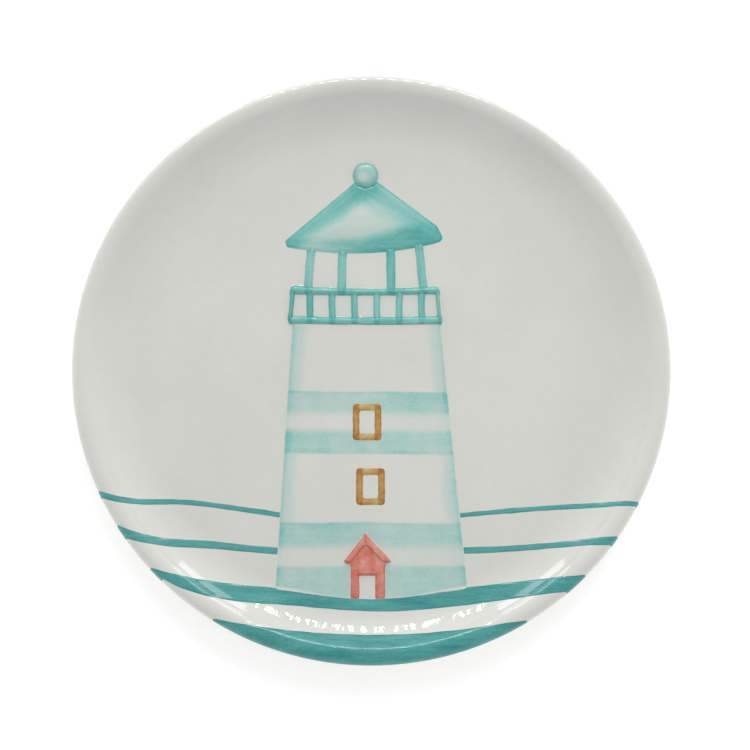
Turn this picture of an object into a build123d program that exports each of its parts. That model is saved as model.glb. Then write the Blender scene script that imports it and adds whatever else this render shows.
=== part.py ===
from build123d import *
from math import asin, atan2, cos, degrees, radians, sin
import os

# A coupe plate with a low-relief lighthouse on its well and brushed sea stripes across its lower third.
# The plate lies flat with its well facing +Z. The origin is the centre of the foot ring's bottom face, and
# +Y points to the top of the lighthouse. All lengths are millimetres.

# Dish
PLATE_RADIUS = 105.0
WELL_RADIUS = 82.0  # the flat part of the well
WALL_SWEEP = 21.5  # radius of the hollow curve from the well up the wall
LIP_SHOULDER = 5.6  # radius of the lip's inner shoulder
LIP_ROUND = 2.8  # radius of the lip's outer roll
FLOOR_THICKNESS = 4.8
UNDERSIDE_RADIUS = 80.0  # the flat part of the underside

# Foot ring
FOOT_HEIGHT = 3.4
FOOT_OUTER_RADIUS = 66.0
FOOT_INNER_RADIUS = 60.0
FOOT_TAPER = 0.8  # how much each flank leans in towards the bottom
FOOT_ROUND = 0.6

# Relief heights, above the well or above the tower wall
TOWER_HEIGHT = 0.6
POST_HEIGHT = 0.9
BALUSTER_HEIGHT = 0.9
RAIL_HEIGHT = 1.2
ROOF_HEIGHT = 1.8
FINIAL_HEIGHT = 2.2
WINDOW_HEIGHT = 0.3
PORCH_WALL_HEIGHT = 0.9
PORCH_BOARD_HEIGHT = 1.5

# Brushed colour
STRIPE_THICKNESS = 0.15
STRIPE_WRAP = 70.0  # how far the stripes wrap over the lip's outer roll, in degrees from its crest

# Lighthouse
MID_X = -2.1  # the line that the lighthouse stands on is a little left of the plate's centre
FINIAL_Y = 70.0
FINIAL_RADIUS = 4.5
ROOF_TIP_ROUND = 0.8
POST_WIDTH = 3.0
BALUSTER_WIDTH = 2.4
BALUSTER_COUNT = 6
BALUSTER_PITCH = 7.93
WINDOW_WIDTH = 10.0
WINDOW_LENGTH = 12.9
WINDOW_STROKE = 2.35
DOOR_WIDTH = 5.6

# Worked out from the sizes above
FLOOR_Z = FOOT_HEIGHT + FLOOR_THICKNESS
TOWER_Z = FLOOR_Z + TOWER_HEIGHT
LIP_CENTRE_X = PLATE_RADIUS - LIP_ROUND
WALL_ANGLE = asin((LIP_CENTRE_X - WELL_RADIUS) / (WALL_SWEEP + LIP_SHOULDER))
TOP_Z = FLOOR_Z + (WALL_SWEEP + LIP_SHOULDER) * (1 - cos(WALL_ANGLE))
LIP_CENTRE_Z = TOP_Z - LIP_ROUND
UP = (0, 0, 1)


def arc_between(centre, radius, start, end):
    """The arc about a centre from one angle to another, in degrees from the first axis."""
    points = []
    for angle in (start, (start + end) / 2, end):
        turn = radians(angle)
        points.append((centre[0] + radius * cos(turn), centre[1] + radius * sin(turn)))
    return ThreePointArc(*points)


def upper_profile(raised, end_angle):
    """The dish's upper surface from the axis to the lip's outer roll, raised square to itself."""
    slope = degrees(WALL_ANGLE)
    well = Line((0, FLOOR_Z + raised), (WELL_RADIUS, FLOOR_Z + raised))
    wall = arc_between((WELL_RADIUS, FLOOR_Z + WALL_SWEEP), WALL_SWEEP - raised, -90, slope - 90)
    shoulder = arc_between((LIP_CENTRE_X, TOP_Z - LIP_SHOULDER), LIP_SHOULDER + raised, 90 + slope, 90)
    roll = arc_between((LIP_CENTRE_X, LIP_CENTRE_Z), LIP_ROUND + raised, 90, end_angle)
    return [well, wall, shoulder, roll]


def spin(edges):
    """The solid of a closed profile, drawn as radius and height, turned about the plate's axis."""
    return revolve(Plane.XZ * make_face(edges), axis=Axis.Z)


def make_plate_body():
    """The dish: flat well, hollow wall, rolled lip, and an underside that is one arc from flat to lip."""
    run = LIP_CENTRE_X - UNDERSIDE_RADIUS
    drop = LIP_CENTRE_Z - FOOT_HEIGHT
    sweep = (run**2 + drop**2 - LIP_ROUND**2) / (2 * (drop - LIP_ROUND))
    meeting = degrees(atan2(drop - sweep, run))
    top = upper_profile(0, meeting)
    under = arc_between((UNDERSIDE_RADIUS, FOOT_HEIGHT + sweep), sweep, meeting, -90)
    base = Line((UNDERSIDE_RADIUS, FOOT_HEIGHT), (0, FOOT_HEIGHT))
    axis = Line((0, FOOT_HEIGHT), (0, FLOOR_Z))
    return spin([*top, under, base, axis])


def make_foot_ring():
    """The standing ring, luted under the well, with leaning flanks and a rounded bottom."""
    section = Polygon(
        (FOOT_INNER_RADIUS, FOOT_HEIGHT),
        (FOOT_INNER_RADIUS + FOOT_TAPER, 0),
        (FOOT_OUTER_RADIUS - FOOT_TAPER, 0),
        (FOOT_OUTER_RADIUS, FOOT_HEIGHT),
        align=None,
    )
    corners = section.vertices().sort_by(Axis.Y)[:2]
    return revolve(Plane.XZ * fillet(corners, FOOT_ROUND), axis=Axis.Z)


def make_glaze_skin():
    """The thin layer over the whole upper surface that every colour stripe is part of."""
    low = upper_profile(0, 90 - STRIPE_WRAP)
    high = upper_profile(STRIPE_THICKNESS, 90 - STRIPE_WRAP)
    edge = Line(low[-1] @ 1, high[-1] @ 1)
    axis = Line(low[0] @ 0, high[0] @ 0)
    return spin([*low, edge, *high, axis])


def shape(*points):
    """A flat outline with straight sides."""
    return Polygon(*points, align=None)


def fitted(outline, *neighbours):
    """What is left of an outline between its neighbours, without the scraps beyond them."""
    for neighbour in neighbours:
        outline = outline - neighbour
    return outline.faces().sort_by(SortBy.AREA)[-1]


def raise_relief(outline, base_z, height, rounding):
    """A flat outline made into a slab of clay with its upper edges rounded."""
    slab = extrude(Pos(0, 0, base_z) * outline, amount=height, dir=UP)
    upper_edges = slab.faces().sort_by(Axis.Z)[-1].edges()
    return fillet(upper_edges, rounding)


def band_between(upper, lower):
    """The outline between an upper and a lower arc, each given by its ends and its middle."""
    top = ThreePointArc(*upper)
    bottom = ThreePointArc(*lower)
    return make_face([top, Line(upper[2], lower[2]), bottom, Line(lower[0], upper[0])])


def brush_stroke(points, widths):
    """The outline of one stroke of the brush: a smooth line, with the width at each of its points."""
    upper = [(x, y + width / 2) for (x, y), width in zip(points, widths)]
    lower = [(x, y - width / 2) for (x, y), width in zip(points, widths)]
    top = Spline(*upper)
    bottom = Spline(*lower)
    return make_face([top, Line(upper[-1], lower[-1]), bottom, Line(lower[0], upper[0])])


def roof_outline():
    """A low cone with a bowed eave, cut round the ball on its top."""
    bow = ThreePointArc((-30.0, 43.6), (-1.0, 41.4), (24.3, 45.4))
    edges = [
        bow,
        Line((24.3, 45.4), (25.4, 46.7)),
        Line((25.4, 46.7), (23.4, 51.0)),
        Line((23.4, 51.0), (1.2, 68.0)),
        Line((1.2, 68.0), (-5.0, 67.8)),
        Line((-5.0, 67.8), (-30.6, 45.6)),
        Line((-30.6, 45.6), (-30.0, 43.6)),
    ]
    cone = make_face(edges)
    eave_corners = cone.vertices().sort_by(Axis.Y)[:4]
    return fillet(eave_corners, ROOF_TIP_ROUND) - finial_outline()


def finial_outline():
    return Pos(MID_X, FINIAL_Y) * Circle(FINIAL_RADIUS)


def top_rail_outline():
    upper = ((-28.6, 29.6), (-2.3, 28.3), (23.8, 29.2))
    lower = ((-29.0, 26.3), (-2.3, 25.8), (24.3, 26.3))
    return band_between(upper, lower)


def bottom_rail_outline():
    upper = ((-29.8, 18.5), (-2.3, 18.0), (25.3, 18.5))
    lower = ((-29.5, 15.3), (-1.0, 14.7), (25.2, 15.0))
    return band_between(upper, lower)


def sea_edge_outline():
    """Stripe 3, whose upper edge is also the foot of the tower and of the porch."""
    upper = [(-80, -70.3), (-63, -74.7), (-33, -78.0), (0, -81.4), (32, -77.9), (61, -75.0), (80, -73.6)]
    lower = [(-76, -73.0), (-56, -81.5), (-29, -84.1), (2, -86.2), (27, -84.7), (54, -81.5), (76, -79.4)]
    right = Line(upper[-1], lower[-1])
    left = Line(lower[0], upper[0])
    return make_face([Spline(*upper), right, Spline(*lower), left])


def tower_outline():
    """The tapering tower, from under the gallery down to the sea."""
    left = [(-26.0, -86.0), (-33.4, -80.0), (-27.8, 17.0)]
    right = [(24.0, 17.0), (33.6, -80.0), (26.0, -86.0)]
    sides = shape(*left, *right)
    return fitted(sides, bottom_rail_outline(), sea_edge_outline())


def make_tower_wall(plate_body):
    """The tower slab. Its foot is square, because the stripe is brushed along it."""
    slab = extrude(Pos(0, 0, FLOOR_Z) * tower_outline(), amount=TOWER_HEIGHT, dir=UP)
    upper_edges = slab.faces().sort_by(Axis.Z)[-1].edges()
    slab = fillet(upper_edges.filter_by(lambda edge: edge.center().Y > -70), 0.4)
    return slab - plate_body


def make_finial_ball():
    """A little less than half a ball of clay."""
    radius = (FINIAL_RADIUS**2 + FINIAL_HEIGHT**2) / (2 * FINIAL_HEIGHT)
    ball = Pos(MID_X, FINIAL_Y, FLOOR_Z + FINIAL_HEIGHT - radius) * Sphere(radius)
    return split(ball, Plane.XY.offset(FLOOR_Z), keep=Keep.TOP)


def lantern_post_outlines():
    """Four leaning strips between the roof and the gallery, given by the middles of their ends."""
    middles = [
        ((-21.2, 44.0), (-22.5, 28.0)),
        ((-10.2, 43.0), (-10.6, 27.0)),
        ((6.9, 43.0), (7.0, 27.0)),
        ((16.8, 45.0), (18.6, 28.0)),
    ]
    half = POST_WIDTH / 2
    outlines = []
    for (top_x, top_y), (foot_x, foot_y) in middles:
        strip = shape(
            (top_x - half, top_y), (top_x + half, top_y), (foot_x + half, foot_y), (foot_x - half, foot_y)
        )
        outlines.append(fitted(strip, roof_outline(), top_rail_outline()))
    return outlines


def between_rails(*points):
    """An upright of the gallery, cut to fit between its two rails."""
    return fitted(shape(*points), top_rail_outline(), bottom_rail_outline())


def baluster_outlines():
    """Evenly spaced uprights that fill the gallery."""
    first_x = MID_X + 0.1 - BALUSTER_PITCH * (BALUSTER_COUNT - 1) / 2
    half = BALUSTER_WIDTH / 2
    outlines = []
    for number in range(BALUSTER_COUNT):
        x = first_x + number * BALUSTER_PITCH
        corners = ((x - half, 27.0), (x + half, 27.0), (x + half, 17.5), (x - half, 17.5))
        outlines.append(between_rails(*corners))
    return outlines


def window_outline(x, y):
    """An upright frame with rounded corners and an open pane, about its centre."""
    pane_width = WINDOW_WIDTH - 2 * WINDOW_STROKE
    pane_length = WINDOW_LENGTH - 2 * WINDOW_STROKE
    frame = RectangleRounded(WINDOW_WIDTH, WINDOW_LENGTH, 1.2)
    pane = RectangleRounded(pane_width, pane_length, 0.5)
    return Pos(x, y) * (frame - pane)


def porch_wall_outline():
    """The house front, under its two roof boards, with an open doorway at the sea's edge."""
    left = [(-7.2, -84.0), (-7.2, -69.5), (-6.9, -69.5)]
    right = [(3.7, -69.3), (4.8, -69.3), (4.8, -84.0)]
    front = shape(*left, (MID_X, -63.1), *right)
    door_left = -4.2
    door_right = door_left + DOOR_WIDTH
    doorway = shape((door_left, -84.0), (door_left, -73.7), (door_right, -73.7), (door_right, -84.0))
    return fitted(front, doorway, sea_edge_outline())


def porch_board_outlines():
    """The left and the right roof board, which meet at the ridge."""
    left = shape((MID_X, -59.0), (-9.6, -68.7), (-8.6, -69.5), (-6.9, -69.5), (MID_X, -63.1))
    right = shape((MID_X, -59.0), (6.9, -68.7), (6.1, -69.3), (3.7, -69.3), (MID_X, -63.1))
    return left, right


def stripe_outlines():
    """The sea, as brush strokes from the tower to the lip and two across the whole plate."""
    crescent = Spline((-60, -87.8), (-40, -91.5), (-9, -94.1), (22, -93.5), (42, -91.2), (60, -88.6))
    crescent_rest = Polyline((60, -88.6), (60, -110), (-60, -110), (-60, -87.8))
    left_1 = ((-97, -44.6), (-88, -47.8), (-70, -47.9), (-50, -49.8), (-30, -52.8))
    right_1 = ((29, -52.8), (41, -51.7), (68.6, -49.7), (97, -50.0))
    left_2 = ((-91, -56.4), (-80, -61.2), (-57, -62.9), (-43, -64.3), (-31, -65.2))
    right_2 = ((30.5, -65.0), (44.3, -64.5), (61.4, -63.4), (90, -62.5))
    return {
        "sea_stripe_1_left": brush_stroke(left_1, (2.1, 2.3, 2.0, 1.9, 2.0)),
        "sea_stripe_1_right": brush_stroke(right_1, (1.7, 1.8, 1.9, 1.9)),
        "sea_stripe_2_left": brush_stroke(left_2, (3.4, 3.2, 2.8, 2.5, 2.6)),
        "sea_stripe_2_right": brush_stroke(right_2, (2.5, 2.3, 2.2, 3.9)),
        "sea_stripe_3": sea_edge_outline(),
        "sea_stripe_4": make_face([crescent, *crescent_rest.edges()]),
    }


def make_stripes():
    """Each stroke as the part of the glaze skin under its outline, clear of the tower."""
    skin = make_glaze_skin()
    tower = extrude(tower_outline(), amount=2 * TOP_Z, dir=UP)
    stripes = {}
    for name, outline in stripe_outlines().items():
        column = extrude(outline, amount=2 * TOP_Z, dir=UP)
        stripes[name] = (skin & column) - tower
    return stripes


def make_relief(plate_body):
    """Every piece of applied clay, by name."""
    pieces = {
        "tower_wall": make_tower_wall(plate_body),
        "finial_ball": make_finial_ball(),
        "lantern_roof": raise_relief(roof_outline(), FLOOR_Z, ROOF_HEIGHT, 0.9),
        "gallery_top_rail": raise_relief(top_rail_outline(), FLOOR_Z, RAIL_HEIGHT, 0.35),
        "gallery_bottom_rail": raise_relief(bottom_rail_outline(), FLOOR_Z, RAIL_HEIGHT, 0.35),
    }
    left_end = between_rails((-28.7, 27.0), (-27.2, 27.0), (-27.7, 17.5), (-29.6, 17.5))
    right_end = between_rails((22.9, 27.0), (24.1, 27.0), (25.1, 17.5), (23.2, 17.5))
    pieces["gallery_end_post_left"] = raise_relief(left_end, FLOOR_Z, RAIL_HEIGHT, 0.3)
    pieces["gallery_end_post_right"] = raise_relief(right_end, FLOOR_Z, RAIL_HEIGHT, 0.3)
    for number, outline in enumerate(baluster_outlines(), start=1):
        pieces[f"gallery_baluster_{number}"] = raise_relief(outline, FLOOR_Z, BALUSTER_HEIGHT, 0.3)
    for number, outline in enumerate(lantern_post_outlines(), start=1):
        pieces[f"lantern_post_{number}"] = raise_relief(outline, FLOOR_Z, POST_HEIGHT, 0.3)
    left_board, right_board = porch_board_outlines()
    pieces["window_frame_upper"] = raise_relief(window_outline(-1.5, -19.8), TOWER_Z, WINDOW_HEIGHT, 0.2)
    pieces["window_frame_lower"] = raise_relief(window_outline(-0.3, -42.6), TOWER_Z, WINDOW_HEIGHT, 0.2)
    pieces["porch_wall"] = raise_relief(porch_wall_outline(), TOWER_Z, PORCH_WALL_HEIGHT, 0.25)
    pieces["porch_roof_board_left"] = raise_relief(left_board, TOWER_Z, PORCH_BOARD_HEIGHT, 0.3)
    pieces["porch_roof_board_right"] = raise_relief(right_board, TOWER_Z, PORCH_BOARD_HEIGHT, 0.3)
    return pieces


def main():
    plate_body = make_plate_body()
    nodes = {"plate_body": plate_body, "foot_ring": make_foot_ring()}
    nodes.update(make_relief(plate_body))
    nodes.update(make_stripes())
    os.makedirs("parts", exist_ok=True)
    for name, node in nodes.items():
        export_step(node, f"parts/{name}.step")


main()
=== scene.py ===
import math

import bpy
import numpy as np
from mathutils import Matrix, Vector


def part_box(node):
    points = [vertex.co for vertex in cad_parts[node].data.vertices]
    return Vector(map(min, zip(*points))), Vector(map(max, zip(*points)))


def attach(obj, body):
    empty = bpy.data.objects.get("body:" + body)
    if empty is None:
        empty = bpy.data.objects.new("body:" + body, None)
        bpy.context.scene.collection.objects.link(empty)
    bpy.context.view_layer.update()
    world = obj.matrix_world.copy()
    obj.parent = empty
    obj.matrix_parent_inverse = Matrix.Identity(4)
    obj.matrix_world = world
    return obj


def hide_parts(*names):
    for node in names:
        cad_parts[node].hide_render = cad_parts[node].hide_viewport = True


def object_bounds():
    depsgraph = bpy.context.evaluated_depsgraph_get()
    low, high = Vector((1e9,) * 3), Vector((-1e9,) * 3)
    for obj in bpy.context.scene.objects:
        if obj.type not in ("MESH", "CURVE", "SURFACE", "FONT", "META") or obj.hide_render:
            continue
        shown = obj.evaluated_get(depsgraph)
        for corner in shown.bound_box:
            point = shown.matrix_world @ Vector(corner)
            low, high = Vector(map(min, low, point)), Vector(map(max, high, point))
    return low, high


# A glazed coupe plate with a low-relief lighthouse. Mesh code works in millimetres, in the CAD frame: +Z
# out of the well, +Y towards the top of the lighthouse. Meshes are scaled to metres when they are made.

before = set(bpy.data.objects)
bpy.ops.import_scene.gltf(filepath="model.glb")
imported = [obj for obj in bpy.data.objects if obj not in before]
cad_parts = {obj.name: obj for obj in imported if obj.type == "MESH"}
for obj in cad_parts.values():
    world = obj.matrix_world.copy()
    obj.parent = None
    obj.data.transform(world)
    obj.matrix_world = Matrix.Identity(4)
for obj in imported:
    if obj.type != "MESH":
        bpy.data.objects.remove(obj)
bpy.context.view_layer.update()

MM = 0.001


def node_box(node):
    """The lowest and the highest corner of a CAD node, in mm."""
    low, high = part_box(node)
    return np.array(low) / MM, np.array(high) / MM


# ---------------------------------------------------------------- the dish's shape

body_low, body_high = node_box("plate_body")
PLATE_RADIUS = body_high[0]
TOP_Z = body_high[2]
UNDERSIDE_Z = body_low[2]
WELL_RADIUS = 82.0
WALL_SWEEP = 21.5  # radius of the hollow curve up the wall
LIP_SHOULDER = 5.6  # radius of the lip's inner shoulder
LIP_ROUND = 2.8  # radius of the lip's outer roll
UNDERSIDE_RADIUS = 80.0
FOOT_WIDTH = 6.0  # of the standing ring at its root
LIP_RADIUS = PLATE_RADIUS - LIP_ROUND
WALL_ANGLE = math.asin((LIP_RADIUS - WELL_RADIUS) / (WALL_SWEEP + LIP_SHOULDER))
FLOOR_Z = TOP_Z - (WALL_SWEEP + LIP_SHOULDER) * (1 - math.cos(WALL_ANGLE))

WALL_LENGTH = WALL_SWEEP * WALL_ANGLE
SHOULDER_LENGTH = LIP_SHOULDER * WALL_ANGLE
CREST_ARC = WELL_RADIUS + WALL_LENGTH + SHOULDER_LENGTH

UNEVEN = 0.035  # how far the jiggered surface strays from its true shape
CALM_RADIUS = 96.0  # from here to the rim the underside's unevenness fades out
SEGMENTS = 432  # places round the dish


def smooth_step(value, low, high):
    """0 below low, 1 above high, and a smooth rise between them; a smooth fall where low is the larger."""
    part = np.clip((value - low) / (high - low), 0, 1)
    return part * part * (3 - 2 * part)


def ripple(x, y, wavelength, seed):
    """A smooth, irregular field between about -1 and 1: a few waves in random directions."""
    random = np.random.default_rng(seed)
    total = np.zeros_like(x)
    for _ in range(7):
        turn = random.uniform(0, math.tau)
        length = wavelength * random.uniform(0.7, 1.6)
        phase = random.uniform(0, math.tau)
        total += np.sin(math.tau * (x * math.cos(turn) + y * math.sin(turn)) / length + phase)
    return total / 3


def upper_surface(arc):
    """Radius, height and tilt of the upper surface at a distance along it from the axis."""
    wall = np.clip(arc - WELL_RADIUS, 0, WALL_LENGTH) / WALL_SWEEP
    shoulder = np.clip(arc - WELL_RADIUS - WALL_LENGTH, 0, SHOULDER_LENGTH) / LIP_SHOULDER
    roll = np.clip(arc - CREST_ARC, 0, None) / LIP_ROUND
    slope = WALL_ANGLE - shoulder
    radius = np.minimum(arc, WELL_RADIUS) + WALL_SWEEP * np.sin(wall)
    radius = radius + LIP_SHOULDER * (math.sin(WALL_ANGLE) - np.sin(slope)) + LIP_ROUND * np.sin(roll)
    height = FLOOR_Z + WALL_SWEEP * (1 - np.cos(wall))
    height = height + LIP_SHOULDER * (np.cos(slope) - math.cos(WALL_ANGLE)) - LIP_ROUND * (1 - np.cos(roll))
    return radius, height, wall - shoulder - roll


ARCS = np.linspace(0, CREST_ARC + LIP_ROUND * math.pi / 2, 3000)
ARC_RADII = upper_surface(ARCS)[0]


def arc_at(x, y):
    """The distance along the upper surface from the axis to the place with this plan position."""
    return np.interp(np.hypot(x, y), ARC_RADII, ARCS)


def on_dish(azimuth, arc, lift):
    """Points on the upper surface, raised square to it by lift."""
    radius, height, tilt = upper_surface(arc)
    calm = smooth_step(radius, PLATE_RADIUS, LIP_RADIUS - 8)
    x = radius * np.cos(azimuth)
    y = radius * np.sin(azimuth)
    lift = lift + UNEVEN * calm * ripple(x, y, 19.0, 3)
    out = radius - lift * np.sin(tilt)
    return np.stack([out * np.cos(azimuth), out * np.sin(azimuth), height + lift * np.cos(tilt)], axis=-1)


# ---------------------------------------------------------------- mesh helpers


def add_mesh(name, points, faces, fields=None):
    """A smooth-shaded object from points in mm, with one named number for each point and field."""
    mesh = bpy.data.meshes.new(name)
    mesh.from_pydata((np.asarray(points) * MM).tolist(), [], [list(face) for face in faces])
    mesh.validate()
    mesh.polygons.foreach_set("use_smooth", [True] * len(mesh.polygons))
    for field, values in (fields or {}).items():
        values = np.asarray(values, dtype=np.float32)
        kind, key = ("FLOAT_VECTOR", "vector") if values.ndim == 2 else ("FLOAT", "value")
        attribute = mesh.attributes.new(field, kind, "POINT")
        attribute.data.foreach_set(key, values.ravel())
    piece = bpy.data.objects.new(name, mesh)
    bpy.context.scene.collection.objects.link(piece)
    return piece


def stand_for(piece, node, material):
    """Puts a piece in place of one CAD node."""
    piece.data.materials.append(material)
    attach(piece, "root")
    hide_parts(node)


def ring_faces(rings, closed):
    """Quads between neighbouring rings of SEGMENTS points each; closed joins the last ring to the first."""
    here = np.arange(SEGMENTS)
    after = (here + 1) % SEGMENTS
    faces = []
    for ring in range(rings if closed else rings - 1):
        low = ring * SEGMENTS
        high = ((ring + 1) % rings) * SEGMENTS
        faces.append(np.stack([low + here, high + here, high + after, low + after], axis=-1))
    return np.concatenate(faces)


def solid_patch(name, top, bottom, keep, fields):
    """A closed solid between two sheets of points, over the grid cells that touch a kept point."""
    rows, columns = keep.shape
    number = np.arange(rows * columns).reshape(rows, columns)
    touched = keep[:-1, :-1] | keep[1:, :-1] | keep[:-1, 1:] | keep[1:, 1:]
    corners = (number[:-1, :-1], number[1:, :-1], number[1:, 1:], number[:-1, 1:])
    cells = np.stack([corner[touched] for corner in corners], axis=-1)
    used = np.unique(cells)
    renumber = np.zeros(rows * columns, dtype=int)
    renumber[used] = np.arange(len(used))
    cells = renumber[cells]
    starts = cells.ravel()
    ends = np.roll(cells, -1, axis=1).ravel()
    count = len(used)
    alone = ~np.isin(starts * count + ends, ends * count + starts)
    walls = np.stack([ends[alone], starts[alone], starts[alone] + count, ends[alone] + count], axis=-1)
    faces = np.concatenate([cells, cells[:, ::-1] + count, walls])
    points = np.concatenate([top.reshape(-1, 3)[used], bottom.reshape(-1, 3)[used]])
    twice = {}
    for field, values in fields.items():
        flat = values.reshape(rows * columns, -1)[used]
        twice[field] = np.concatenate([flat, flat]).squeeze()
    return add_mesh(name, points, faces, twice)


# ---------------------------------------------------------------- outlines of the CAD nodes


def plan_loops(node):
    """The outline of a CAD node's underside in plan, as directed pairs of neighbouring points."""
    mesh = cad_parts[node].data
    edges = set()
    for polygon in mesh.polygons:
        if polygon.normal.z > -0.2:
            continue
        ring = [tuple(round(c / MM, 4) for c in mesh.vertices[v].co) for v in polygon.vertices]
        edges.update(zip(ring, ring[1:] + ring[:1]))
    border = [(a[:2], b[:2]) for a, b in edges if (b, a) not in edges]
    return np.array(border)


def inset_from(border, x, y):
    """How far inside an outline each place is, in mm; negative outside."""
    nearest = np.full(x.shape, 1e9)
    inside = np.zeros(x.shape, dtype=bool)
    for (ax, ay), (bx, by) in border:
        length = (bx - ax) ** 2 + (by - ay) ** 2
        along = np.clip(((x - ax) * (bx - ax) + (y - ay) * (by - ay)) / max(length, 1e-12), 0, 1)
        nearest = np.minimum(nearest, (x - ax - along * (bx - ax)) ** 2 + (y - ay - along * (by - ay)) ** 2)
        if ay != by:
            crossing = (ay > y) != (by > y)
            inside ^= crossing & (x < ax + (y - ay) * (bx - ax) / (by - ay))
    distance = np.sqrt(nearest)
    return np.where(inside, distance, -distance)


def from_line(points, x, y):
    """The distance from each place to a line through some points."""
    nearest = np.full(x.shape, 1e9)
    for (ax, ay), (bx, by) in zip(points, points[1:]):
        length = (bx - ax) ** 2 + (by - ay) ** 2
        along = np.clip(((x - ax) * (bx - ax) + (y - ay) * (by - ay)) / length, 0, 1)
        nearest = np.minimum(nearest, np.hypot(x - ax - along * (bx - ax), y - ay - along * (by - ay)))
    return nearest


def blurred(field, times):
    """A grid of values, softened with its neighbours so that corners become round."""
    for _ in range(times):
        padded = np.pad(field, 1, mode="edge")
        field = (padded[1:-1, 1:-1] * 4 + padded[:-2, 1:-1] + padded[2:, 1:-1]
                 + padded[1:-1, :-2] + padded[1:-1, 2:]) / 8
    return field


# ---------------------------------------------------------------- the dish and its foot


def underside_profile():
    """Radius and height from the lip round the underside to its middle, and the angle where it starts."""
    centre_z = TOP_Z - LIP_ROUND
    run = LIP_RADIUS - UNDERSIDE_RADIUS
    drop = centre_z - UNDERSIDE_Z
    sweep = (run**2 + drop**2 - LIP_ROUND**2) / (2 * (drop - LIP_ROUND))
    meeting = math.atan2(drop - sweep, run)
    turn = np.linspace(meeting, -math.pi / 2, 40)
    middle_radius = np.linspace(UNDERSIDE_RADIUS - 2, 2, 34)
    middle_height = np.full(len(middle_radius), UNDERSIDE_Z)
    radius = np.concatenate([UNDERSIDE_RADIUS + sweep * np.cos(turn), middle_radius])
    height = np.concatenate([UNDERSIDE_Z + sweep + sweep * np.sin(turn), middle_height])
    return radius, height, meeting


def make_dish(material):
    """The dish as one turned surface: well, wall, rolled lip and underside."""
    under_radius, under_height, meeting = underside_profile()
    roll_length = LIP_ROUND * (math.pi / 2 - meeting)
    well = np.linspace(1.6, WELL_RADIUS, 50)
    wall = np.linspace(WELL_RADIUS, CREST_ARC + roll_length, 74)[1:-1]
    azimuth = np.linspace(0, math.tau, SEGMENTS, endpoint=False)
    azimuth_grid, arc_grid = np.meshgrid(azimuth, np.concatenate([well, wall]))
    upper = on_dish(azimuth_grid, arc_grid, 0.0)
    azimuth_grid, radius_grid = np.meshgrid(azimuth, under_radius)
    x = radius_grid * np.cos(azimuth_grid)
    y = radius_grid * np.sin(azimuth_grid)
    calm = smooth_step(radius_grid, PLATE_RADIUS, CALM_RADIUS)
    z = under_height[:, None] + 0.5 * UNEVEN * calm * (1 + ripple(x, y, 17.0, 8))
    under = np.stack([x, y, z], axis=-1)
    rings = np.concatenate([upper, under])
    points = rings.reshape(-1, 3)
    last = len(points) - SEGMENTS
    top_middle = on_dish(np.zeros(1), np.zeros(1), 0.0)
    under_middle = [[0, 0, UNDERSIDE_Z]]
    faces = ring_faces(len(rings), closed=False).tolist()
    for here in range(SEGMENTS):
        after = (here + 1) % SEGMENTS
        faces.append([len(points), here, after])
        faces.append([len(points) + 1, last + after, last + here])
    piece = add_mesh("dish", np.concatenate([points, top_middle, under_middle]), faces)
    stand_for(piece, "plate_body", material)


def foot_section():
    """Radius and height round the foot's section, from inside the dish down and back up."""
    low, high = node_box("foot_ring")
    outer = high[0]
    inner = outer - FOOT_WIDTH
    taper = 0.8
    corner = 0.6
    root_z = UNDERSIDE_Z + 0.35
    flank_z = np.linspace(root_z, corner, 14)
    drawn_in = taper * (UNDERSIDE_Z - flank_z) / UNDERSIDE_Z
    pooled = 0.55 * np.exp((flank_z - UNDERSIDE_Z) / 0.45)
    turn = np.linspace(0, math.pi / 2, 6)[1:]
    corner_r = taper + corner - corner * np.cos(turn)
    corner_z = corner - corner * np.sin(turn)
    inner_r = inner + np.concatenate([drawn_in - pooled, corner_r])
    outer_r = outer - np.concatenate([drawn_in - pooled, corner_r])
    half_z = np.concatenate([flank_z, corner_z])
    face_r = np.linspace(inner_r[-1], outer_r[-1], 8)[1:-1]
    radius = np.concatenate([inner_r, face_r, outer_r[::-1]])
    height = np.concatenate([half_z, np.zeros(len(face_r)), half_z[::-1]])
    return radius, height + low[2]


def make_foot(glaze, bare):
    """The standing ring: glazed flanks, with the glaze wiped off the standing face before firing."""
    radius, height = foot_section()
    azimuth = np.linspace(0, math.tau, SEGMENTS, endpoint=False)
    azimuth_grid, radius_grid = np.meshgrid(azimuth, radius)
    x = radius_grid * np.cos(azimuth_grid)
    y = radius_grid * np.sin(azimuth_grid)
    z = np.repeat(height[:, None], SEGMENTS, axis=1)
    points = np.stack([x, y, z], axis=-1).reshape(-1, 3)
    wiped = (0.75 + 0.15 * ripple(x, y, 14.0, 21) - z).ravel()
    piece = add_mesh("standing_ring", points, ring_faces(len(radius), closed=True))
    stand_for(piece, "foot_ring", glaze)
    piece.data.materials.append(bare)
    for polygon in piece.data.polygons:
        if np.mean(wiped[list(polygon.vertices)]) > 0:
            polygon.material_index = 1


# ---------------------------------------------------------------- relief

SKIRT = 0.35  # how far the glaze rounds out the foot of a relief edge
BURY = 0.05  # how far a piece's rim lies under the dish's surface
ROOTED = 0.3  # how deep a piece reaches into the clay


def swell(inset, height, rise):
    """The height of a rounded slab over its ground, from its buried rim to its top."""
    return (height + BURY) * smooth_step(inset, -SKIRT, rise) - BURY


def node_height(node, ground):
    """How far a CAD node stands over a ground height."""
    return node_box(node)[1][2] - ground


TOWER_HEIGHT = node_height("tower_wall", FLOOR_Z)


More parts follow.
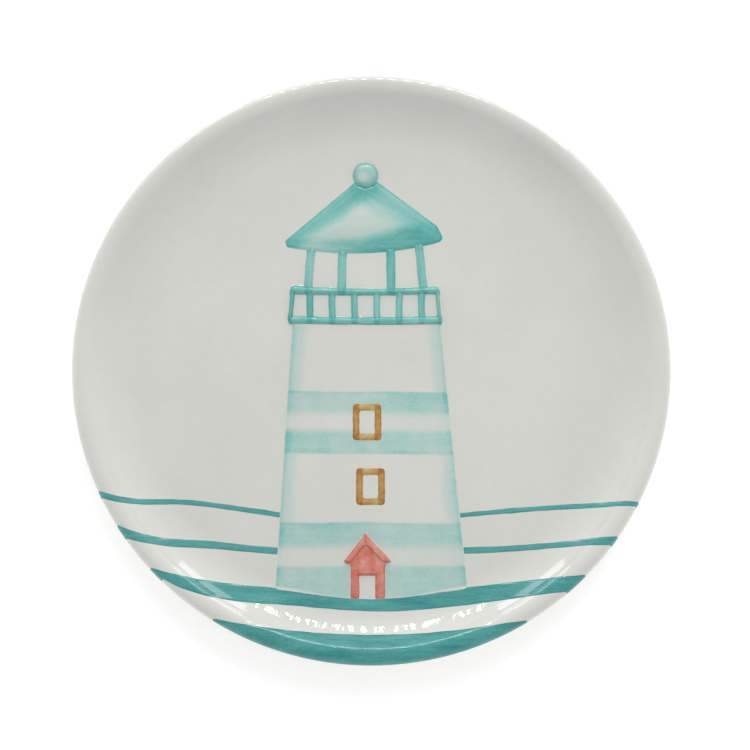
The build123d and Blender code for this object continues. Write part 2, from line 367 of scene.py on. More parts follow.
def flat_grid(node, margin, step):
    """A square grid in plan over a node and a margin round it."""
    low, high = node_box(node)
    columns = np.arange(low[0] - margin, high[0] + margin, step)
    rows = np.arange(low[1] - margin, high[1] + margin, step)
    y, x = np.meshgrid(rows, columns)
    return x, y


def relief_piece(name, node, x, y, lift, keep, fields, material):
    """One relief piece over a plan grid, rooted in the dish."""
    azimuth = np.arctan2(y, x)
    arc = arc_at(x, y)
    top = on_dish(azimuth, arc, lift)
    bottom = on_dish(azimuth, arc, -ROOTED)
    piece = solid_patch(name, top, bottom, keep, fields)
    stand_for(piece, node, material)


def along(start, end, x, y):
    """Places measured along and across the line from start to end."""
    turn = math.atan2(end[1] - start[1], end[0] - start[0])
    forward = (x - start[0]) * math.cos(turn) + (y - start[1]) * math.sin(turn)
    sideways = (y - start[1]) * math.cos(turn) - (x - start[0]) * math.sin(turn)
    return forward, sideways


def brushed(forward, sideways, number):
    """The places of points in the direction of a brush stroke, for the streaks in its colour."""
    return np.stack([forward, sideways, np.full(forward.shape, float(number))], axis=-1)


def moved_under(border, neighbour, shift):
    """An outline whose points on a neighbour's outline move by shift along y, so that it ends under it."""
    shared = np.abs(inset_from(neighbour, border[..., 0], border[..., 1])) < 0.05
    return border + np.stack([np.zeros(shared.shape), shift * shared], axis=-1)


SEA_BORDER = plan_loops("sea_stripe_3")
TOWER_BORDER = moved_under(plan_loops("tower_wall"), plan_loops("gallery_bottom_rail"), 1.2)
UPPER_BAND = (-9.0, -30.9)  # where the two washed bands round the tower begin and end
LOWER_BAND = (-55.4, -90.0)
LOWEST_STROKE = -70.2  # the crisp edge of the lower band's second stroke
TOWER_HALF_WIDTH = 26.0
TOWER_FOOT_Y = -80.0  # where the tower is widest


def from_sea(x, y):
    """How far outside the third sea stripe each place is; negative on it."""
    return -inset_from(SEA_BORDER, x, y)


def from_tower_side(x, y):
    """How far inside the tower's nearer side edge each place is."""
    top_y = TOWER_BORDER[..., 1].max()
    top_x = TOWER_BORDER[TOWER_BORDER[..., 1] > top_y - 2.0][:, 0]
    low, high = node_box("tower_wall")
    left = np.interp(y, [TOWER_FOOT_Y, top_y], [low[0], top_x.min()])
    right = np.interp(y, [TOWER_FOOT_Y, top_y], [high[0], top_x.max()])
    return np.minimum(x - left, right - x)


def tower_inset(x, y):
    """How far inside the tower's outline each place is, as if it ran on under the sea."""
    running_on = inset_from(TOWER_BORDER, x, y) + 2.5 * (1 - smooth_step(from_sea(x, y), 0.3, 3.0))
    return np.minimum(running_on, from_tower_side(x, y))


def tower_lift(x, y):
    """The tower slab's height over the dish, thinned towards its foot at the edge of the sea."""
    full = swell(tower_inset(x, y), TOWER_HEIGHT, 1.0)
    return full * (0.15 + 0.85 * smooth_step(from_sea(x, y), -1.0, 26.0))


def band_stroke(y, crisp, depth, softness):
    """A broad wash across the tower: a crisp, darker edge, an even width and an edge that fades out."""
    into = (y - crisp) * math.copysign(1, depth)
    body = smooth_step(into, -0.35, 0.15) * (1 - smooth_step(into, abs(depth) - softness, abs(depth)))
    return body * (1.28 - 0.28 * smooth_step(into, 0.3, 1.6))


def left_clean(x, y):
    """1 in the doorway and, less so, in the panes of the windows, where the white shows through."""
    clean = np.zeros_like(x)
    for node, share in (("window_frame_upper", 0.7), ("porch_wall", 1.0)):
        low, high = node_box(node)
        inside = np.minimum(np.minimum(x - low[0], high[0] - x), high[1] - y)
        if node != "porch_wall":
            inside = np.minimum(inside, y - low[1])
        clean = np.maximum(clean, share * smooth_step(inside, 0.4, 1.2))
    return clean


def make_tower(material):
    """The tower slab, with washes down its sides and in two bands round it."""
    x, y = flat_grid("tower_wall", 1.2, 0.45)
    lift = blurred(tower_lift(x, y), 1)
    from_side = from_tower_side(x, y)
    inset = tower_inset(x, y)
    sway = 0.35 * ripple(x, y * 0.3, 34.0, 42)
    patchy = 1 + 0.16 * ripple(x, y * 2.0, 26.0, 43) + 0.12 * ripple(x, y, 8.0, 44)
    rightward = smooth_step(x, -TOWER_HALF_WIDTH, TOWER_HALF_WIDTH)
    strokes = (
        (0.24 + 0.08 * rightward) * band_stroke(y + sway, UPPER_BAND[0], -9.5, 4.0),
        (0.33 - 0.09 * rightward) * band_stroke(y + 0.7 * sway, UPPER_BAND[1], 9.5, 3.0),
        (0.36 - 0.11 * rightward) * band_stroke(y + sway, LOWER_BAND[0], -10.5, 5.0),
        (0.28 - 0.03 * rightward) * smooth_step(LOWEST_STROKE - y - sway, -0.6, 1.2),
    )
    bands = sum(strokes)
    blushing = 0.045 * smooth_step(x, -6.0, 12.0)
    in_band = np.zeros_like(x)
    for top, foot in (UPPER_BAND, LOWER_BAND):
        between = smooth_step(y, foot - 0.3, foot + 0.3) * smooth_step(y, top + 0.3, top - 0.3)
        in_band = np.maximum(in_band, between)
    wavering = from_side + 0.5 * ripple(x * 0.4, y, 22.0, 41)
    sides = 0.18 * (1 - smooth_step(wavering, 1.6, 6.4)) + 0.16 * (1 - smooth_step(wavering, 0.3, 1.8))
    ends = 0.7 * (1 - smooth_step(wavering, 0.2, 2.6)) * bands
    pigment = patchy * (bands + ends) + blushing * in_band + sides * (1 - 0.75 * in_band)
    middle_x = (TOWER_BORDER[..., 0].min() + TOWER_BORDER[..., 0].max()) / 2
    gap = 0.75 * smooth_step(np.abs(x - middle_x), 14.0, 28.0)
    pigment = pigment * (1 - left_clean(x, y)) * smooth_step(from_sea(x, y), gap - 0.5, gap + 0.1)
    fields = {"inset": inset, "pigment": pigment, "stroke": brushed(x, y, 1)}
    relief_piece("tower", "tower_wall", x, y, lift, inset > -SKIRT - 0.3, fields, material)


def make_roof(material):
    """The cushion-shaped roof: dark strokes along its slopes and eave round a pale middle."""
    node = "lantern_roof"
    x, y = flat_grid(node, 1.0, 0.35)
    inset = blurred(inset_from(plan_loops(node), x, y), 2)
    height = node_height(node, FLOOR_Z)
    lift = swell(inset, 0.2 * height, 1.4) + 0.8 * height * smooth_step(inset, -1.5, 10.5)
    low, high = node_box(node)
    ball_low, ball_high = node_box("finial_ball")
    apex = ((ball_low[0] + ball_high[0]) / 2, ball_low[1])
    left_tip = (low[0] + 1.0, low[1] + 4.2)
    right_tip = (high[0] - 1.5, low[1] + 6.2)
    eave_middle = ((low[0] + high[0]) / 2, low[1] + 1.7)
    rightward = smooth_step(x, low[0] + 6, high[0] - 6)
    from_left = from_line([left_tip, apex], x, y)
    from_right = from_line([right_tip, apex], x, y)
    from_eave = from_line([left_tip, eave_middle, right_tip], x, y)
    reach = 1.4 + 3.6 * rightward
    left_slope = 0.8 * (1 - smooth_step(from_left, 1.0, 5.6))
    right_slope = 0.46 * (1 - smooth_step(from_right, 2.0, 8.0))
    right_slope = right_slope + 0.25 * (1 - smooth_step(from_right, 0.3, 2.2))
    eave_load = 0.34 + 0.68 * smooth_step(x, low[0] + 4, high[0] - 16)
    eave = eave_load * (1 - smooth_step(from_eave, 0.45 * reach, 1.4 * reach))
    crown = 0.35 * (1 - smooth_step(from_line([apex, (apex[0], apex[1] - 1)], x, y), 2.0, 8.0))
    wash = 0.10 + 0.05 * ripple(x, y, 16.0, 51)
    outline = 0.25 * (1 - smooth_step(inset, 0.2, 1.3))
    most = 1.25 - 0.1 * ripple(x, y, 9.0, 52)
    washes = np.minimum(wash + left_slope + right_slope + eave + crown, most)
    pigment = blurred(washes, 30) + outline
    ways = (along(left_tip, apex, x, y), along(right_tip, apex, x, y), (x, y))
    nearest = np.argmin([from_left, 0.8 * from_right, 0.6 * from_eave], axis=0)
    forward = np.choose(nearest, [way[0] for way in ways])
    sideways = np.choose(nearest, [way[1] for way in ways])
    fields = {"inset": inset + 0.15, "pigment": pigment, "stroke": brushed(forward, sideways, 2)}
    relief_piece("roof", node, x, y, lift, inset > -SKIRT - 0.3, fields, material)


def make_ball(material):
    """The half ball on the roof, pale with a darker rim."""
    node = "finial_ball"
    x, y = flat_grid(node, 1.0, 0.22)
    low, high = node_box(node)
    middle_x = (low[0] + high[0]) / 2
    middle_y = (low[1] + high[1]) / 2
    radius = (high[0] - low[0]) / 2
    out = np.hypot(x - middle_x, y - middle_y)
    inset = radius - out
    height = node_height(node, FLOOR_Z)
    dome = height * np.sqrt(np.clip(1 - (out / (radius + 0.1)) ** 2, 0, 1))
    lift = np.maximum(dome - BURY, swell(inset, 0.4, 0.6))
    pale = 1 - smooth_step(np.hypot(x - middle_x + 0.9, y - middle_y + 1.2), 0.8, 3.0)
    rim = 1 - smooth_step(inset, 0.4, 1.8)
    pigment = 0.44 - 0.26 * pale + 0.22 * rim
    fields = {"inset": inset, "pigment": pigment, "stroke": brushed(x, y, 3)}
    relief_piece("ball", node, x, y, lift, inset > -SKIRT - 0.3, fields, material)


def upright_line(node, lap_up, lap_down):
    """The middle line of a leaning strip, run on past its ends, and half its width."""
    border = plan_loops(node)
    low = border[..., 1].min()
    high = border[..., 1].max()
    middles = []
    for level in (low + 0.6, high - 0.6):
        crossings = []
        for (ax, ay), (bx, by) in border:
            if (ay > level) != (by > level):
                crossings.append(ax + (level - ay) * (bx - ax) / (by - ay))
        middles.append(((min(crossings) + max(crossings)) / 2, level))
        half_width = (max(crossings) - min(crossings)) / 2
    (foot_x, foot_y), (top_x, top_y) = middles
    lean = (top_x - foot_x) / (top_y - foot_y)
    foot = (foot_x - lean * (foot_y - low + lap_down), low - lap_down)
    top = (top_x + lean * (high + lap_up - top_y), high + lap_up)
    return [foot, top], half_width


LANTERN_POSTS = [f"lantern_post_{number}" for number in range(1, 5)]
BALUSTERS = [f"gallery_baluster_{number}" for number in range(1, 7)]
END_POSTS = ["gallery_end_post_left", "gallery_end_post_right"]
RAILS = ["gallery_top_rail", "gallery_bottom_rail"]
PAINT_LOAD = dict(zip(LANTERN_POSTS, (0.67, 0.80, 1.04, 0.70)))
PAINT_LOAD.update(zip(BALUSTERS, (1.12, 1.02, 0.86, 0.72, 0.74, 0.86)))
PAINT_LOAD.update(zip(END_POSTS, (1.15, 0.78)))


def uprights():
    """Every upright stroke, as (node, middle line, half width)."""
    found = []
    for node in LANTERN_POSTS:
        found.append((node, *upright_line(node, 0.6, 0.9)))
    for node in BALUSTERS:
        found.append((node, *upright_line(node, 0.2, 1.2)))
    for node in END_POSTS:
        found.append((node, *upright_line(node, 1.2, 1.3)))
    return found


def make_uprights(strokes, material):
    """Posts, balusters and end posts: round-ended strips that lap onto the rails."""
    rail_borders = [plan_loops(rail) for rail in RAILS]
    roof_border = plan_loops("lantern_roof")
    for number, (node, line, half_width) in enumerate(strokes, start=4):
        x, y = flat_grid(node, 3.6, 0.24)
        bend = 0.10 * ripple(x, y, 11.0, number)
        inset = half_width - from_line(line, x + bend, y)
        if node in LANTERN_POSTS:
            inset = np.minimum(inset, 1.0 - inset_from(roof_border, x, y))
        lift = swell(inset, node_height(node, FLOOR_Z), half_width * 0.9)
        lapped = np.zeros_like(x)
        for border in rail_borders:
            lapped = np.maximum(lapped, smooth_step(inset_from(border, x, y), -0.5, 0.4))
        run = (y - line[0][1]) / (line[1][1] - line[0][1])
        pigment = PAINT_LOAD[node] * (1 + 0.10 * ripple(x, y * 0.3, 5.0, number)) + 0.35 * lapped
        if node in LANTERN_POSTS:
            pigment = pigment + 0.35 * smooth_step(run, 0.78, 0.97)
        fields = {"inset": inset + 0.8 * lapped, "pigment": pigment, "stroke": brushed(y, x, number)}
        name = node.replace("lantern_", "").replace("gallery_", "")
        relief_piece(name, node, x, y, lift, inset > -SKIRT - 0.25, fields, material)


def make_rails(strokes, material):
    """The gallery's rails, with darker patches where the uprights' strokes lap onto them."""
    for number, node in enumerate(RAILS, start=30):
        x, y = flat_grid(node, 1.0, 0.26)
        inset = blurred(inset_from(plan_loops(node), x, y), 24)
        inset = inset + 0.07 * ripple(x, y, 9.0, number)
        lift = swell(inset, node_height(node, FLOOR_Z), 1.1)
        lapped = np.zeros_like(x)
        for upright, (foot, top), half_width in strokes:
            lower_foot = (foot[0], foot[1] - (1.7 if upright in LANTERN_POSTS else 0.9))
            cut_top = (top[0], top[1] - 2 * half_width)
            cover = smooth_step(half_width - from_line([lower_foot, cut_top], x, y), -0.15, 0.35)
            lapped = np.maximum(lapped, cover)
        pigment = 0.90 + 0.13 * ripple(x * 0.35, y, 6.0, number) + 0.5 * lapped
        fields = {"inset": inset, "pigment": pigment, "stroke": brushed(x, y, number)}
        name = node.replace("gallery_", "")
        relief_piece(name, node, x, y, lift, inset > -SKIRT - 0.25, fields, material)


def make_windows(material):
    """Two frames painted with four short strokes each, darker where the strokes cross at the corners."""
    for number, node in enumerate(("window_frame_upper", "window_frame_lower"), start=40):
        x, y = flat_grid(node, 1.0, 0.2)
        inset = blurred(inset_from(plan_loops(node), x, y), 5)
        inset = inset + 0.05 * ripple(x, y, 6.0, number)
        height = node_height(node, FLOOR_Z + TOWER_HEIGHT)
        lift = tower_lift(x, y) + swell(inset, height, 1.0)
        low, high = node_box(node)
        width = 2.35
        upright = smooth_step(np.maximum(x - high[0], low[0] - x), -width - 0.2, -width + 0.3)
        level = smooth_step(np.maximum(y - high[1], low[1] - y), -width - 0.2, -width + 0.3)
        pigment = 0.76 + 0.34 * upright + 0.36 * upright * level + 0.14 * ripple(x, y, 4.0, number)
        fields = {"inset": inset, "pigment": pigment, "stroke": brushed(x + y, x - y, number)}
        name = node.replace("_frame", "")
        relief_piece(name, node, x, y, lift, inset > -SKIRT - 0.25, fields, material)


def joined_inset(own, other):
    """How far inside an outline a place is, without the dip along the edge shared with a neighbour."""
    shared = 1 - smooth_step(np.abs(own + other), 0.05, 0.5)
    return own + shared * smooth_step(own, -1.4, -0.2)


PORCH = ("porch_wall", "porch_roof_board_left", "porch_roof_board_right")


def make_porch(material):
    """The little house: a front with a doorway under two thick roof boards."""
    for number, node in enumerate(PORCH, start=50):
        x, y = flat_grid(node, 1.4, 0.18)
        own = inset_from(moved_under(plan_loops(node), SEA_BORDER, -0.4), x, y)
        inset = own
        # The front runs on under the boards, and the boards run on into each other.
        for neighbour in PORCH:
            if neighbour != node:
                other = inset_from(plan_loops(neighbour), x, y)
                if node == "porch_wall" or neighbour != "porch_wall":
                    inset = np.maximum(inset, joined_inset(own, other))
        inset = blurred(inset, 3) + 0.05 * ripple(x, y, 6.0, 50)
        height = node_height(node, FLOOR_Z + TOWER_HEIGHT)
        if node == "porch_wall":
            height = height * (0.2 + 0.8 * smooth_step(from_sea(x, y), -0.6, 9.0))
        lift = tower_lift(x, y) + swell(inset, height, 0.85)
        pigment = 0.98 + 0.18 * ripple(x, y, 4.5, number)
        if node != "porch_wall":
            pigment = pigment - 0.08
        fields = {"inset": inset, "pigment": pigment, "stroke": brushed(y, x, number)}
        name = node.replace("roof_", "")
        keep = (inset > -SKIRT - 0.2) & (own > -1.2)
        relief_piece(name, node, x, y, lift, keep, fields, material)


# ---------------------------------------------------------------- sea stripes

STRIPES = [
    "sea_stripe_1_left",
    "sea_stripe_1_right",
    "sea_stripe_2_left",
    "sea_stripe_2_right",
    "sea_stripe_3",
    "sea_stripe_4",
]
BROAD_STRIPES = STRIPES[4:]
STRIPE_THICKNESS = 0.12


def past_the_rim(border):
    """An outline whose ends on the lip are moved outwards, so that only its sides count."""
    radius = np.hypot(border[..., 0], border[..., 1])
    return border * np.where(radius > PLATE_RADIUS - 0.6, 1.04, 1.0)[..., None]


def make_stripes(material):
    """Brushed stripes that follow the dish up its wall and over the lip."""
    step = 0.36
    for number, node in enumerate(STRIPES, start=60):
        border = plan_loops(node)
        corners = border.reshape(-1, 2)
        azimuths = np.arctan2(corners[:, 1], corners[:, 0])
        arcs = arc_at(corners[:, 0], corners[:, 1])
        turn = step / PLATE_RADIUS
        azimuth_line = np.arange(azimuths.min() - 4 * turn, azimuths.max() + 4 * turn, turn)
        arc_line = np.arange(arcs.min() - 1.0, arcs.max() + 1.2, step)
        azimuth, arc = np.meshgrid(azimuth_line, arc_line)
        radius = upper_surface(arc)[0]
        x = radius * np.cos(azimuth)
        y = radius * np.sin(azimuth)
        inset = inset_from(past_the_rim(border), x, y) + 0.06 * ripple(x, y, 8.0, number)
        inset = np.minimum(inset, arcs.max() + 0.45 - arc)
        lift = (STRIPE_THICKNESS + BURY) * smooth_step(inset, -0.3, 0.7) - BURY
        loaded = 0.26 if node in BROAD_STRIPES else 0.08
        pigment = 0.96 + loaded * smooth_step(radius, 73.0, 92.0) + 0.09 * ripple(x * 0.3, y, 9.0, number)
        fields = {"inset": inset, "pigment": pigment, "stroke": brushed(x, y, number)}
        top = on_dish(azimuth, arc, lift)
        bottom = on_dish(azimuth, arc, -ROOTED)
        piece = solid_patch(node.replace("sea_", ""), top, bottom, inset > -0.5, fields)
        stand_for(piece, node, material)


# ---------------------------------------------------------------- materials

WHITE = (0.60, 0.602, 0.565)
SEA_GREEN = (0.185, 0.66, 0.65)  # what one coat of each colour lets through
DEEP_SEA_GREEN = (0.105, 0.50, 0.52)
OCHRE = (0.69, 0.385, 0.085)
CORAL = (0.94, 0.30, 0.23)


class Nodes:
    """A short way to write a material's node tree."""

    def __init__(self, name):
        self.material = bpy.data.materials.new(name)
        self.material.use_nodes = True
        self.tree = self.material.node_tree
        self.shader = self.tree.nodes["Principled BSDF"]

    def add(self, kind, **settings):
        node = self.tree.nodes.new(kind)
        for key, value in settings.items():
            setattr(node, key, value)
        return node

    def join(self, source, socket):
        """Sets a socket to a number, a vector or another node's output."""
        if isinstance(source, bpy.types.NodeSocket):
            self.tree.links.new(source, socket)
        else:
            socket.default_value = source

    def math(self, operation, first, second=0.0):
        node = self.add("ShaderNodeMath", operation=operation)
        self.join(first, node.inputs[0])
        self.join(second, node.inputs[1])
        return node.outputs[0]

    def spread(self, value, low, high, to_low=0.0, to_high=1.0):
        """Maps a range of values onto another range, with smooth ends."""
        node = self.add("ShaderNodeMapRange", interpolation_type="SMOOTHSTEP")
        for source, socket in zip((value, low, high, to_low, to_high), node.inputs):
            self.join(source, socket)
        return node.outputs[0]

    def noise(self, place, size, detail=2.0, roughness=0.5):
        """Noise whose features are about size millimetres across."""
        node = self.add("ShaderNodeTexNoise")
        self.join(place, node.inputs["Vector"])
        node.inputs["Scale"].default_value = 1 / size
        node.inputs["Detail"].default_value = detail
        node.inputs["Roughness"].default_value = roughness
        return node.outputs["Fac"]

    def scaled(self, vector, factors):
        node = self.add("ShaderNodeVectorMath", operation="MULTIPLY")
        self.join(vector, node.inputs[0])
        node.inputs[1].default_value = factors
        return node.outputs[0]

    def attribute(self, name, output="Fac"):
        return self.add("ShaderNodeAttribute", attribute_name=name).outputs[output]

    def place(self):
        """Where a point is on the plate, in mm."""
        return self.scaled(self.add("ShaderNodeTexCoord").outputs["Object"], (1000, 1000, 1000))

    def bump(self, height, distance, normal=None):
        """A surface normal bent by a height field that is distance millimetres deep."""
        node = self.add("ShaderNodeBump")
        self.join(height, node.inputs["Height"])
        node.inputs["Distance"].default_value = distance * MM
        node.inputs["Strength"].default_value = 1.0
        if normal is not None:
            self.join(normal, node.inputs["Normal"])
        return node.outputs[0]


def glaze_ground(nodes, place):
    """The warm white of the clay under the glaze: faint clouds and a few tiny iron specks."""
    clouds = nodes.noise(place, 38.0, 3.0)
    mottle = nodes.noise(place, 2.4, 3.0)
    cells = nodes.add("ShaderNodeTexVoronoi", feature="F1")
    nodes.join(place, cells.inputs["Vector"])
    cells.inputs["Scale"].default_value = 1 / 11.0
    small = nodes.spread(cells.outputs["Distance"], 0.006, 0.016, 1.0, 0.0)
    split = nodes.add("ShaderNodeSeparateColor")
    nodes.join(cells.outputs["Color"], split.inputs[0])
    rare = nodes.math("GREATER_THAN", split.outputs[0], 0.72)
    speck = nodes.math("MULTIPLY", small, rare)
    tone = nodes.spread(clouds, 0.3, 0.7, 0.975, 1.02)
    tone = nodes.math("MULTIPLY", tone, nodes.spread(mottle, 0.3, 0.7, 0.99, 1.01))
    tone = nodes.math("MULTIPLY", tone, nodes.spread(speck, 0.0, 1.0, 1.0, 0.62))
    return tone


def stained(nodes, tone, coat, density):
    """White times a stain's transmission to the power of its density, one channel at a time."""
    joined = nodes.add("ShaderNodeCombineColor")
    for channel in range(3):
        passed = nodes.math("POWER", coat[channel], density) if coat else 1.0
        lit = nodes.math("MULTIPLY", passed, WHITE[channel])
        nodes.join(nodes.math("MULTIPLY", lit, tone), joined.inputs[channel])
    return joined.outputs[0]


GLAZE_RIPPLE = 0.043  # how high the ripples stand, in mm
BODY_GLOSS = 0.35
COAT_ROUGHNESS = 0.025


def orange_peel(nodes, place):
    """The glaze's surface: broad ripples and fine orange peel."""
    broad = nodes.noise(place, 7.5, 1.0)
    fine = nodes.noise(place, 2.3, 2.0, 0.45)
    return nodes.math("ADD", broad, nodes.math("MULTIPLY", fine, 0.30))


def finish_glaze(
    nodes, place, ridges, body_depth, coat_depth, body_gloss=BODY_GLOSS, coat_roughness=COAT_ROUGHNESS
):
    """Gloss: a clear coat over a softer body, with the same ripples and more or less of the ridges."""
    shader = nodes.shader
    peel = nodes.bump(orange_peel(nodes, place), GLAZE_RIPPLE)
    nodes.join(nodes.bump(ridges, coat_depth, normal=peel), shader.inputs["Coat Normal"])
    nodes.join(nodes.bump(ridges, body_depth, normal=peel), shader.inputs["Normal"])
    cloud = nodes.noise(place, 5.0, 3.0)
    nodes.join(nodes.spread(cloud, 0.25, 0.75, 0.42, 0.56), shader.inputs["Roughness"])
    shader.inputs["Specular IOR Level"].default_value = body_gloss
    shader.inputs["Coat Weight"].default_value = 1.0
    shader.inputs["Coat Roughness"].default_value = coat_roughness
    shader.inputs["Coat IOR"].default_value = 1.5


def white_glaze(name):
    """Plain glaze for the dish."""
    nodes = Nodes(name)
    place = nodes.place()
    tone = glaze_ground(nodes, place)
    nodes.join(stained(nodes, tone, None, 0.0), nodes.shader.inputs["Base Color"])
    grain = nodes.noise(place, 0.7, 2.0)
    finish_glaze(nodes, place, grain, 0.006, 0.001)
    return nodes.material


def painted_glaze(
    name,
    coat,
    edge=0.14,
    pooling=0.25,
    streaks=0.45,
    blotches=0.14,
    coat_depth=0.004,
    body_gloss=BODY_GLOSS,
    coat_roughness=COAT_ROUGHNESS,
):
    """Glaze over brushed colour, whose load, edges and streaks come from the piece's own fields."""
    nodes = Nodes(name)
    place = nodes.place()
    tone = glaze_ground(nodes, place)
    inset = nodes.attribute("inset")
    stroke = nodes.attribute("stroke", "Vector")
    shaky = nodes.noise(place, 1.6, 2.0)
    shaken = nodes.math("ADD", inset, nodes.spread(shaky, 0.2, 0.8, -0.07, 0.07))
    cover = nodes.spread(shaken, -edge, edge)
    pooled = nodes.spread(inset, 0.15, 0.75, pooling, 0.0)
    hairs = nodes.noise(nodes.scaled(stroke, (0.16, 2.2, 1.0)), 1.0, 3.0, 0.6)
    sweeps = nodes.noise(nodes.scaled(stroke, (0.07, 0.5, 1.0)), 1.0, 2.0)
    blots = nodes.noise(place, 1.1, 3.0)
    load = nodes.math("ADD", nodes.spread(hairs, 0.25, 0.75, 1 - streaks / 2, 1 + streaks / 2), pooled)
    load = nodes.math("MULTIPLY", load, nodes.spread(sweeps, 0.3, 0.7, 0.88, 1.12))
    load = nodes.math("MULTIPLY", load, nodes.spread(blots, 0.3, 0.7, 1 - blotches / 2, 1 + blotches / 2))
    density = nodes.math("MULTIPLY", nodes.math("MULTIPLY", nodes.attribute("pigment"), cover), load)
    nodes.join(stained(nodes, tone, coat, density), nodes.shader.inputs["Base Color"])
    ridges = nodes.math("ADD", density, nodes.math("MULTIPLY", blots, 0.3))
    finish_glaze(nodes, place, ridges, 0.012, coat_depth, body_gloss, coat_roughness)
    return nodes.material


def bare_clay(name):
    """Fired clay without glaze: matt, sandy, with fine turning lines."""
    nodes = Nodes(name)
    place = nodes.place()
    shader = nodes.shader
    sand = nodes.noise(place, 0.35, 4.0, 0.65)
    patches = nodes.noise(place, 6.0, 3.0)
    colour = nodes.add("ShaderNodeValToRGB")
    colour.color_ramp.elements[0].color = (0.46, 0.38, 0.29, 1)
    colour.color_ramp.elements[1].color = (0.74, 0.67, 0.56, 1)
    mixed = nodes.math("ADD", nodes.math("MULTIPLY", sand, 0.55), nodes.math("MULTIPLY", patches, 0.45))
    nodes.join(nodes.spread(mixed, 0.3, 0.7), colour.inputs[0])
    nodes.join(colour.outputs[0], shader.inputs["Base Color"])
    nodes.join(nodes.spread(sand, 0.3, 0.7, 0.78, 0.95), shader.inputs["Roughness"])
    wheel = nodes.add("ShaderNodeTexWave", wave_type="RINGS", rings_direction="Z")
    nodes.join(place, wheel.inputs["Vector"])
    wheel.inputs["Scale"].default_value = 0.9
    wheel.inputs["Distortion"].default_value = 1.5
    relief = nodes.math("ADD", sand, nodes.math("MULTIPLY", wheel.outputs["Fac"], 0.3))
    nodes.join(nodes.bump(relief, 0.05), shader.inputs["Normal"])
    return nodes.material


# ---------------------------------------------------------------- floor, light and camera


def make_floor():
    """A plain pale table under the foot."""
    table_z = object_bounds()[0].z
    reach = 3.0
    mesh = bpy.data.meshes.new("table")
    corners = [(x * reach, y * reach, table_z) for x, y in ((-1, -1), (1, -1), (1, 1), (-1, 1))]
    mesh.from_pydata(corners, [], [(0, 1, 2, 3)])
    floor = bpy.data.objects.new("table", mesh)
    bpy.context.scene.collection.objects.link(floor)
    nodes = Nodes("pale_table")
    place = nodes.place()
    tone = nodes.spread(nodes.noise(place, 60.0, 3.0), 0.3, 0.7, 0.925, 0.935)
    joined = nodes.add("ShaderNodeCombineColor")
    for channel in range(3):
        nodes.join(tone, joined.inputs[channel])
    nodes.join(joined.outputs[0], nodes.shader.inputs["Base Color"])
    nodes.shader.inputs["Roughness"].default_value = 0.9
    nodes.shader.inputs["Specular IOR Level"].default_value = 0.1
    nodes.shader.inputs["Emission Color"].default_value = (1, 1, 1, 1)
    nodes.shader.inputs["Emission Strength"].default_value = 0.28
    mesh.materials.append(nodes.material)


def aimed(thing, place, target):
    """Puts a light or camera somewhere, looking at a target."""
    thing.location = place
    thing.rotation_euler = (Vector(target) - Vector(place)).to_track_quat("-Z", "Y").to_euler()
    bpy.context.scene.collection.objects.link(thing)


def area_light(name, place, target, width, height, power):
    """A rectangular light: its place and sides in metres, its power in watts."""
    data = bpy.data.lights.new(name, "AREA")
    data.shape = "RECTANGLE"
    data.size = width
    data.size_y = height
    data.energy = power
    light = bpy.data.objects.new(name, data)
    aimed(light, place, target)
    return light


def make_world():
    """Even white surroundings, a little brighter towards the horizon and beyond the lighthouse's top."""
    world = bpy.data.worlds.new("studio")
    bpy.context.scene.world = world
    world.use_nodes = True
    tree = world.node_tree
    direction = tree.nodes.new("ShaderNodeTexCoord")
    split = tree.nodes.new("ShaderNodeSeparateXYZ")
    fade = tree.nodes.new("ShaderNodeMapRange")
    fade.inputs["From Min"].default_value = 0.0
    fade.inputs["From Max"].default_value = 0.8
    fade.inputs["To Min"].default_value = 1.25
    fade.inputs["To Max"].default_value = 0.68
    across = tree.nodes.new("ShaderNodeMapRange")
    across.inputs["From Min"].default_value = -1.0
    across.inputs["From Max"].default_value = 1.0
    across.inputs["To Min"].default_value = 0.91
    across.inputs["To Max"].default_value = 1.12
    both = tree.nodes.new("ShaderNodeMath")
    both.operation = "MULTIPLY"
    tree.links.new(direction.outputs["Generated"], split.inputs[0])
    tree.links.new(split.outputs["Z"], fade.inputs["Value"])
    tree.links.new(split.outputs["Y"], across.inputs["Value"])
    tree.links.new(fade.outputs[0], both.inputs[0])
    tree.links.new(across.outputs[0], both.inputs[1])
    background = tree.nodes["Background"]
    background.inputs["Color"].default_value = (1, 1, 1, 1)
    tree.links.new(both.outputs[0], background.inputs["Strength"])


def beyond_the_top(side, degrees, height):
    """A place past the top of the lighthouse, turned to one side by some degrees."""
    distance = 1.1
    turn = math.radians(degrees)
    return (side * distance * math.sin(turn), distance * math.cos(turn), height)


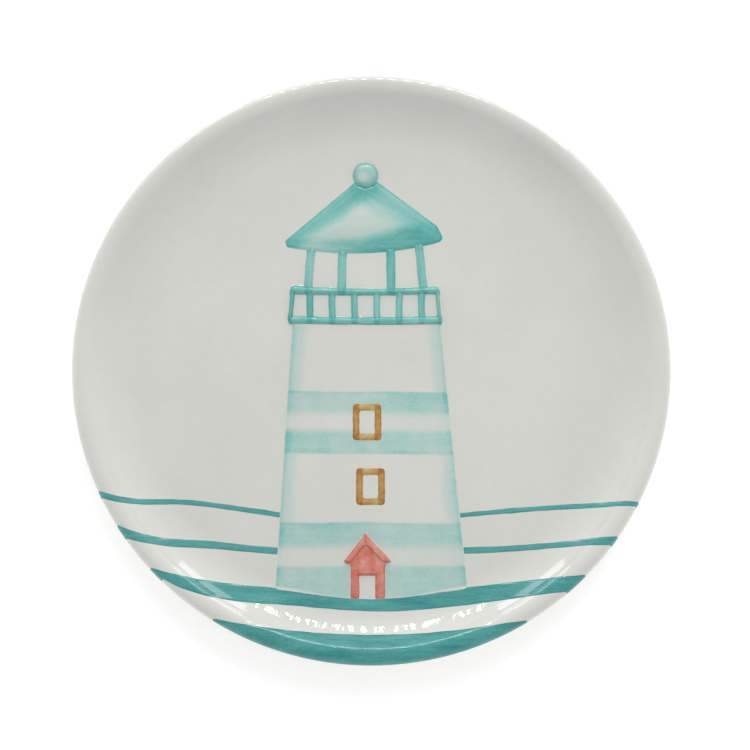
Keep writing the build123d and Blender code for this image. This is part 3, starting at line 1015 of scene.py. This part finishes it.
def make_lights(centre):
    """Soft lights that only show as shading, and windows and lamps that only show in the glaze's gloss."""
    key = area_light("key", (0.25, 1.1, 1.3), centre, 1.1, 0.9, 8.0)
    low_strip = area_light("low_strip", (0.0, 1.5, 0.3), centre, 1.4, 0.3, 2.2)
    soft = [key, low_strip]
    for name, side in (("left", -1), ("right", 1)):
        panel_place = beyond_the_top(side, 30, 0.45)
        soft.append(area_light(f"panel_{name}", panel_place, centre, 0.2, 0.85, 0.92))
        window_place = beyond_the_top(side, 29, 0.17)
        window = area_light(f"window_{name}", window_place, centre, 0.27, 0.36, 1.15)
        window.visible_diffuse = False
    for light in soft:
        light.visible_glossy = False
    lamps = 18
    spacing = 0.041
    for number in range(lamps):
        x = (number - (lamps - 1) / 2) * spacing
        lamp = area_light(f"lamp_{number}", (x, 1.0, 0.59), centre, 0.011, 0.26, 0.19)
        lamp.visible_diffuse = False


def make_camera():
    """A camera high over the near edge, framed so that the plate sits a little above the middle."""
    centre = Vector((0, 0, (TOP_Z - LIP_ROUND) * MM))
    elevation = math.radians(79.8)
    distance = 0.8
    frame_width = 0.26303
    data = bpy.data.cameras.new("camera")
    data.sensor_width = 36.0
    data.lens = data.sensor_width * distance / frame_width
    data.shift_x = 0.00487
    data.shift_y = -0.0148
    data.clip_end = 10.0
    camera = bpy.data.objects.new("camera", data)
    offset = Vector((0, -math.cos(elevation), math.sin(elevation))) * distance
    aimed(camera, centre + offset, centre)
    bpy.context.scene.camera = camera
    return centre


# ---------------------------------------------------------------- the scene


def main():
    """Makes every piece, then the table, the camera and the lights."""
    glaze = white_glaze("white_glaze_body")
    make_dish(glaze)
    make_foot(glaze, bare_clay("bare_clay"))
    washes = painted_glaze("tower_washes", SEA_GREEN, edge=0.35, pooling=0.10, streaks=0.24, blotches=0.3)
    make_tower(washes)
    wash = painted_glaze("sea_green_wash_brushed", SEA_GREEN, edge=0.22, pooling=0.22, streaks=0.3)
    make_roof(wash)
    make_ball(wash)
    brushed_green = painted_glaze("sea_green_brushed", SEA_GREEN, pooling=0.28, streaks=0.35)
    strokes = uprights()
    make_uprights(strokes, brushed_green)
    make_rails(strokes, brushed_green)
    make_windows(painted_glaze("ochre_brushed", OCHRE, edge=0.12, pooling=0.35, streaks=0.4, blotches=0.25))
    make_porch(painted_glaze("coral_brushed", CORAL, edge=0.12, pooling=0.3, streaks=0.14, blotches=0.3))
    brushed_sea = painted_glaze(
        "sea_stripe_brushed",
        DEEP_SEA_GREEN,
        edge=0.10,
        pooling=0.12,
        streaks=0.24,
        coat_depth=0.014,
        body_gloss=0.08,
        coat_roughness=0.09,
    )
    make_stripes(brushed_sea)
    make_floor()
    centre = make_camera()
    make_world()
    make_lights(centre)
    bpy.context.scene.view_settings.view_transform = "Standard"


main()
